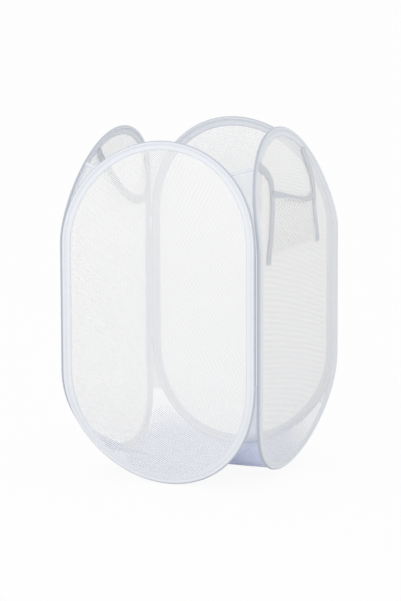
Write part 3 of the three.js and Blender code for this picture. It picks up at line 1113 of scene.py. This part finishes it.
@dataclass
class CornerGusset(SoftPiece):
    """The sheer cloth between two hoops, above and below the corner's seam.

    Each is two layers that lie together while the hamper stands. When it folds,
    each layer goes flat with its own hoop.
    """

    side: Side
    layer_gap: float = 0.0005
    hem: float = 0.006
    hem_thickness: float = 0.0016
    sag: float = 0.003
    full_sag_width: float = 0.05
    cells: Cells = (14, 20)
    hem_cells: Cells = (14, 3)

    @property
    def corner(self) -> str:
        """Name of the corner, from the two sides that meet there."""
        return f"{self.side.label}_{self.side.next.label}"

    @property
    def layers(self) -> tuple[tuple[Side, float], ...]:
        """The two layers: the side that each goes with, and how far out it lies."""
        return (self.side, self.layer_gap / 2), (self.side.next, -self.layer_gap / 2)

    def gap(self, across: float) -> float:
        """Gives the way across the corner from a place of one flat hoop to the other."""
        return (self.hoop.plane - across) * math.sqrt(2)

    def point(self, end: End, over: float, turn: float, proud: float) -> Vector:
        """Gives a point of the gusset.

        Args:
            end: above or below the seam.
            over: share of the way from this side's hoop to the next one's.
            turn: turn round the hoop's end at this place, in radians.
            proud: distance out along the corner's diagonal.

        Returns:
            The point.
        """
        across, height = self.hoop.edge(end, turn)
        near = self.hoop.on(self.side, across, height)
        far = self.hoop.on(self.side.next, -across, height)
        spread = (far - near).length
        slack = self.sag * 4 * over * (1 - over) * min(1.0, spread / self.full_sag_width)
        outward = (self.side.place(0, 1, 0) + self.side.next.place(0, 1, 0)).normalized()
        return near.lerp(far, over) + outward * (proud - slack)

    def gusset(self, end: End) -> None:
        """Makes both layers of the gusset above or below the seam.

        Args:
            end: above or below.
        """
        angle = self.gusset_angle[end]
        finish = SHEER if end is End.TOP else LOWER_CLOTH
        start = f"{self.corner}_{end.name.lower()}"
        chord = (self.point(end, 0, angle, 0) - self.point(end, 1, angle, 0)).length
        tapes = [f"{side.label}_binding_tape" for side, _ in self.layers]
        reach = self.hoop.rise * angle
        for side, lift in self.layers:

            def place(over: float, up: float) -> Vector:
                """Gives a point between the two hoops."""
                return self.point(end, over, up * angle, lift)

            def flat(over: float, up: float) -> Vector:
                """Gives the place on the flat cloth."""
                across, _ = self.hoop.edge(end, up * angle)
                return Vector(((over - 0.5) * self.gap(across), up * reach, 0))

            piece = bent_grid(f"{start}_cloth_{side.label}", self.cells, place, flat)
            self.name_part(piece, finish, f"{start}_gusset", "gusset")
            self.sheet(piece, (chord, reach), tapes)
            self.carry(piece, side, keep=self.folded)

    def top_hem(self) -> None:
        """Makes the tape that is folded over the gusset's upper edge."""
        angle = self.gusset_angle[End.TOP]
        across, _ = self.hoop.edge(End.TOP, angle)
        back = self.hem / math.hypot(self.hoop.half_span, self.hoop.rise) * math.sqrt(2)
        for side, lift in self.layers:

            def place(over: float, up: float) -> Vector:
                """Gives a point of the upper edge's strip."""
                return self.point(End.TOP, over, angle - back * (1 - up), lift)

            def flat(over: float, up: float) -> Vector:
                """Gives the place on the flat tape."""
                return Vector((over * self.gap(across), up * self.hem, 0))

            name = f"{self.corner}_hem_tape_{side.label}"
            piece = bent_grid(name, self.hem_cells, place, flat)
            thicken(piece, self.hem_thickness)
            self.name_part(piece, TAPE, f"{self.corner}_top_hem", "binding")
            self.carry(piece, side, keep=self.folded)

    def build(self, frame: dict) -> None:
        """Builds the corner and dresses its seam.
        """
        self.gusset(End.TOP)
        self.gusset(End.BOTTOM)
        self.top_hem()
        PIPING.dress(frame["nodes"][f"{self.corner}_seam"])
        LOG.info("%s corner: gussets, hem and seam", self.corner)


@dataclass
class Floor(SoftPiece):
    """The sagging floor cloth, sewn to the four hoops and the lower gussets.

    It is four quarters that meet along the diagonals. When the hamper folds, each
    goes flat with its own hoop.
    """

    centre: float = 0.014
    side_cells: int = 24
    corner_cells: int = 6
    rings: int = 14

    def edge(self, side: Side, cell: float) -> Vector:
        """Gives a point of the floor's edge.

        Args:
            side: the hoop side, with half of the corner before it and of the one after.
            cell: cells along from where this side's hoop begins.

        Returns:
            The point.
        """
        if cell < 0:
            before = Side((side.value - 1) % len(Side))
            return self.edge(before, cell + self.side_cells + self.corner_cells)
        right = self.gusset_angle[End.BOTTOM]
        left = math.pi - right
        if cell <= self.side_cells:
            turn = left + (right - left) * cell / self.side_cells
            return self.hoop.on(side, *self.hoop.edge(End.BOTTOM, turn))
        across, height = self.hoop.edge(End.BOTTOM, right)
        near = self.hoop.on(side, across, height)
        far = self.hoop.on(side.next, -across, height)
        return near.lerp(far, (cell - self.side_cells) / self.corner_cells)

    def quarter(self, side: Side) -> Piece:
        """Makes the quarter of the floor that goes flat with one hoop.

        Args:
            side: the hoop side.

        Returns:
            The quarter.
        """
        cells = self.side_cells + self.corner_cells

        def place(around: float, out: float) -> Vector:
            """Gives a point of the sagging cloth.

            Args:
                around: share of the way along the edge.
                out: share of the way from the middle.

            Returns:
                The point.
            """
            rim = self.edge(side, around * cells - self.corner_cells / 2)
            height = self.centre + (rim.z - self.centre) * out * out
            return Vector((rim.x * out, rim.y * out, height))

        def flat(around: float, out: float) -> Vector:
            """Gives the place on the flat cloth, from the floor's middle."""
            return Vector((*place(around, out).xy, 0))

        return bent_grid(f"floor_cloth_{side.label}", (cells, self.rings), place, flat)

    def build(self) -> None:
        """Builds the floor's four quarters."""
        for side in Side:
            piece = self.quarter(side)
            self.name_part(piece, GROUND_CLOTH, "floor_panel", "floor")
            size = (2 * self.hoop.half_span, self.hoop.plane)
            self.sheet(piece, size, [f"{side.label}_binding_tape"])
            self.carry(piece, side, keep=self.folded)
        LOG.info("floor cloth")


@dataclass
class CarryHandle(SoftPiece):
    """The webbing handle, a soft loop that hangs inside the left side."""

    width: float = 0.016
    # Across the left side, inward from the leaning net, and height: a slanting
    # leg from the front, a rounded bottom and a straight leg
    line: tuple[tuple[float, float, float], ...] = (
        (0.0760, 0.0020, 0.559), (0.0500, 0.0060, 0.533), (0.0325, 0.0080, 0.521),
        (0.0000, 0.0120, 0.493), (-0.0340, 0.0167, 0.470), (-0.0720, 0.0188, 0.456),
        (-0.1000, 0.0185, 0.454), (-0.1190, 0.0170, 0.461), (-0.1270, 0.0133, 0.479),
        (-0.1290, 0.0095, 0.498), (-0.1300, 0.0057, 0.515), (-0.1300, 0.0020, 0.528),
    )
    tab_length: float = 0.011
    end_share: float = 0.04
    cells: Cells = (90, 4)
    tab_cells: Cells = (6, 4)

    def build(self) -> None:
        """Builds the loop and the two sewn tabs."""
        line = SmoothLine([self.hoop.on(Side.LEFT, u, z, -n) for u, n, z in self.line])
        inward = Side.LEFT.place(0, -1, 0)
        loop = self.strap("handle_loop", "left_handle", line, inward, self.width, self.cells)
        self.carry(loop, Side.LEFT)
        for name, share, node in (
            ("handle_tab_near", 0.0, "handle_tab_front"),
            ("handle_tab_far", 1.0, "handle_tab_back"),
        ):
            end = line.at(share)
            out = (end - line.at(abs(share - self.end_share))).normalized()
            start = end - out * self.tab_length / 2 + inward * self.webbing_thickness
            short = SmoothLine([start, start + out * self.tab_length])
            tab = self.strap(name, node, short, inward, self.width, self.tab_cells)
            self.carry(tab, Side.LEFT)
        LOG.info("carry handle")


@dataclass
class SidePocket(SoftPiece):
    """The net pocket on the right side, hung between two straps."""

    width: float = 0.014
    proud: float = 0.0028
    mouth_width: float = 0.011
    mesh_inward: float = 0.0006
    belly: float = 0.004
    belly_reach: float = 0.8
    flat_size: Pair = (0.22, 0.10)
    cells: Cells = (24, 14)
    strap_cells: Cells = (48, 4)
    # Across the right side, and height
    near_strap: Section = (
        (-0.116, 0.548), (-0.098, 0.539), (-0.083, 0.528), (-0.077, 0.514), (-0.083, 0.499),
        (-0.091, 0.481), (-0.104, 0.460), (-0.122, 0.433), (-0.134, 0.411), (-0.139, 0.388),
    )
    far_strap: Section = (
        (0.087, 0.556), (0.094, 0.530), (0.099, 0.512), (0.098, 0.494),
        (0.092, 0.476), (0.082, 0.458), (0.077, 0.434), (0.081, 0.400),
    )
    mouth_line: Section = (
        (-0.083, 0.499), (-0.044, 0.491), (0.007, 0.480), (0.048, 0.474), (0.091, 0.477),
    )
    bottom: float = 0.404

    def on_panel(self, points: Section, proud: float) -> SmoothLine:
        """Runs a smooth line over the leaning panel, some way out from its middle plane."""
        return SmoothLine([self.hoop.on(Side.RIGHT, u, z, proud) for u, z in points])

    def bag(self) -> None:
        """Makes the pocket's net, from strap to strap and down to its seam."""
        near = self.on_panel(self.near_strap, 0.0)
        far = self.on_panel(self.far_strap, 0.0)
        mouth = self.on_panel(self.mouth_line, 0.0)

        def strap_at(line: SmoothLine, height: float) -> float:
            """Gives how far across a strap is at a height."""
            return min(line.samples, key=lambda p: abs(p.z - height)).y

        def spot(over: float, up: float) -> Vector:
            """Gives the place across and up the side.

            Args:
                over: share of the way from the near strap to the far one.
                up: share of the way from the seam to the mouth.

            Returns:
                The place on the flat net.
            """
            top = mouth.at(over).z
            height = self.bottom + (top - self.bottom) * up
            near_edge = strap_at(near, height)
            far_edge = strap_at(far, height)
            return Vector((near_edge + (far_edge - near_edge) * over, height, 0))

        def place(over: float, up: float) -> Vector:
            """Gives the place on the net, which bellies out.

            Args:
                over: share of the way from the near strap to the far one.
                up: share of the way from the seam to the mouth.

            Returns:
                The point.
            """
            at = spot(over, up)
            full = math.sin(math.pi * over) * math.sin(math.pi * up * self.belly_reach)
            proud = self.proud - self.mesh_inward + self.belly * full
            return self.hoop.on(Side.RIGHT, at.x, at.y, proud)

        piece = bent_grid("pocket_net", self.cells, place, spot)
        self.name_part(piece, POCKET_NET, "pocket_mesh", "mesh")
        straps = ["pocket_strap_front", "pocket_strap_rear", "pocket_mouth_tape"]
        self.sheet(piece, self.flat_size, straps, held="hung")
        self.carry(piece, Side.RIGHT, "pocket")

    def build(self) -> None:
        """Builds the straps, the mouth's tape and the pocket's net."""
        outward = Side.RIGHT.place(0, 1, 0)
        for name, node, points, width, body in (
            ("pocket_strap_front", "pocket_strap_near", self.near_strap, self.width, ""),
            ("pocket_strap_rear", "pocket_strap_far", self.far_strap, self.width, ""),
            ("pocket_mouth_tape", "pocket_mouth", self.mouth_line, self.mouth_width, "pocket"),
        ):
            # The mouth's tape lies over the straps
            line = self.on_panel(points, self.proud + (self.webbing_thickness if body else 0))
            piece = self.strap(name, node, line, outward, width, self.strap_cells)
            self.carry(piece, Side.RIGHT, body)
        self.bag()
        LOG.info("side pocket")


@dataclass
class FabricTag(SoftPiece):
    """The plain ribbon tag inside the right side, which hangs plumb from its top."""

    offset: float = -0.098
    width: float = 0.034
    top: float = 0.556
    slant: float = 0.020
    bottom: float = 0.466
    inward: float = 0.003
    curl: float = 0.004
    cells: Cells = (8, 14)

    def build(self) -> None:
        """Builds the tag, hung from the binding, its upper edge slanting."""
        leaning, _ = self.hoop.bowed(Side.RIGHT, self.top)
        outward = self.hoop.plane - leaning - self.inward

        def spot(over: float, up: float) -> Vector:
            """Gives the place on the flat ribbon.

            Args:
                over: share of the way across the ribbon.
                up: share of the way up.

            Returns:
                The place across and up the side.
            """
            top = self.top + (over - 0.5) * self.slant
            across = self.offset + (over - 0.5) * self.width
            return Vector((across, self.bottom + (top - self.bottom) * up, 0))

        def place(over: float, up: float) -> Vector:
            """Gives the place on the ribbon, which curls toward its foot.

            Args:
                over: share of the way across the ribbon.
                up: share of the way up.

            Returns:
                The point.
            """
            at = spot(over, up)
            bend = self.curl * math.sin(math.pi * over) * (1 - up)
            return Side.RIGHT.place(at.x, outward - bend, at.y)

        piece = bent_grid("fabric_tag_ribbon", self.cells, place, spot)
        self.name_part(piece, SATIN, "fabric_tag", "tag")
        size = (self.width, self.top - self.bottom + self.slant / 2)
        self.sheet(piece, size, ["right_binding_tape"], held="hung")
        self.carry(piece, Side.RIGHT)
        LOG.info("fabric tag")


# The studio


@dataclass
class Studio:
    """A plain pale floor, soft light from all round, and the camera."""

    target: ClassVar[Vector] = Vector((-0.0019, 0.0, 0.2949))
    azimuth: float = math.radians(23.92)
    elevation: float = math.radians(9.45)
    roll: float = math.radians(-0.19)
    distance: float = 5.214
    focal_pixels: float = 3007.0
    picture_height: float = 601.0
    sensor: float = 36.0
    floor_size: float = 80.0
    lamp_place: tuple[float, float, float] = (-0.4, -4.3, 1.7)
    lamp_size: float = 3.0
    lamp_power: float = 33.0
    world_light: float = 0.96
    view_range: float = 200.0

    def camera(self) -> None:
        """Sets the camera at the photograph's viewing angle."""
        data = bpy.data.cameras.new("Camera")
        data.sensor_width = self.sensor
        data.lens = self.focal_pixels * self.sensor / self.picture_height
        data.clip_end = self.view_range
        camera = in_scene("Camera", data)
        way = Euler((RIGHT_ANGLE - self.elevation, 0, self.azimuth)).to_matrix().to_4x4()
        roll = Matrix.Rotation(self.roll, 4, "Z")
        back = Matrix.Translation((0, 0, self.distance))
        camera.matrix_world = Matrix.Translation(self.target) @ way @ roll @ back
        bpy.context.scene.camera = camera

    def floor(self) -> None:
        """Lays the floor, which is also the background."""

        def place(over: float, along: float) -> Vector:
            """Gives a corner of the floor."""
            return Vector((over - 0.5, along - 0.5, 0)) * self.floor_size

        floor = bent_grid("Floor", (1, 1), place, place)
        PAPER.dress(floor)
        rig.stage(floor)

    def light(self) -> None:
        """Lights the hamper from all round, and a little more from the front left."""
        world = bpy.data.worlds.new("Studio")
        bpy.context.scene.world = world
        world.use_nodes = True
        tree = world.node_tree
        tree.nodes.clear()
        shown = background_rays(tree)
        strength = add(tree, "MapRange", shown, 0.0, 1.0, self.world_light, 1.0)[0]
        sky = add(tree, "Background", Color=(1, 1, 1, 1), Strength=strength)[0]
        add(tree, "OutputWorld", Surface=sky)
        data = bpy.data.lights.new("Key", "AREA")
        data.energy = self.lamp_power
        data.size = self.lamp_size
        lamp = in_scene("Key", data)
        lamp.location = self.lamp_place
        lamp.rotation_euler = (self.target - lamp.location).to_track_quat("-Z", "Y").to_euler()

    def build(self) -> None:
        """Sets up the camera, the floor and the light."""
        bpy.context.scene.view_settings.view_transform = "Standard"
        self.camera()
        self.floor()
        self.light()
        LOG.info("studio")


def write_sizes(before: tuple, after: tuple) -> None:
    """Writes the part's box and the dressed hamper's box.

    Args:
        before: lowest and highest corner of the part.
        after: lowest and highest corner with the pieces.
    """
    boxes = {"cad": before, "visual": after}
    rows = {name: [list(corner) for corner in box] for name, box in boxes.items()}
    with open(SIZE_FILE, "w", encoding="utf-8") as file:
        json.dump(rows, file, indent=1)


def main() -> None:
    """Builds the studio and the hamper's pieces."""
    logging.basicConfig(level=logging.INFO, format="%(message)s")
    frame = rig.load()
    part_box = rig.bounds()
    Studio().build()
    hoop = HoopShape.from_frame()
    for side in Side:
        HoopSide(hoop, side).build(frame)
        CornerGusset(hoop, side).build(frame)
    Floor(hoop).build()
    CarryHandle(hoop).build()
    SidePocket(hoop).build()
    FabricTag(hoop).build()
    write_sizes(part_box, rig.bounds())


if __name__ == "__main__":
    main()
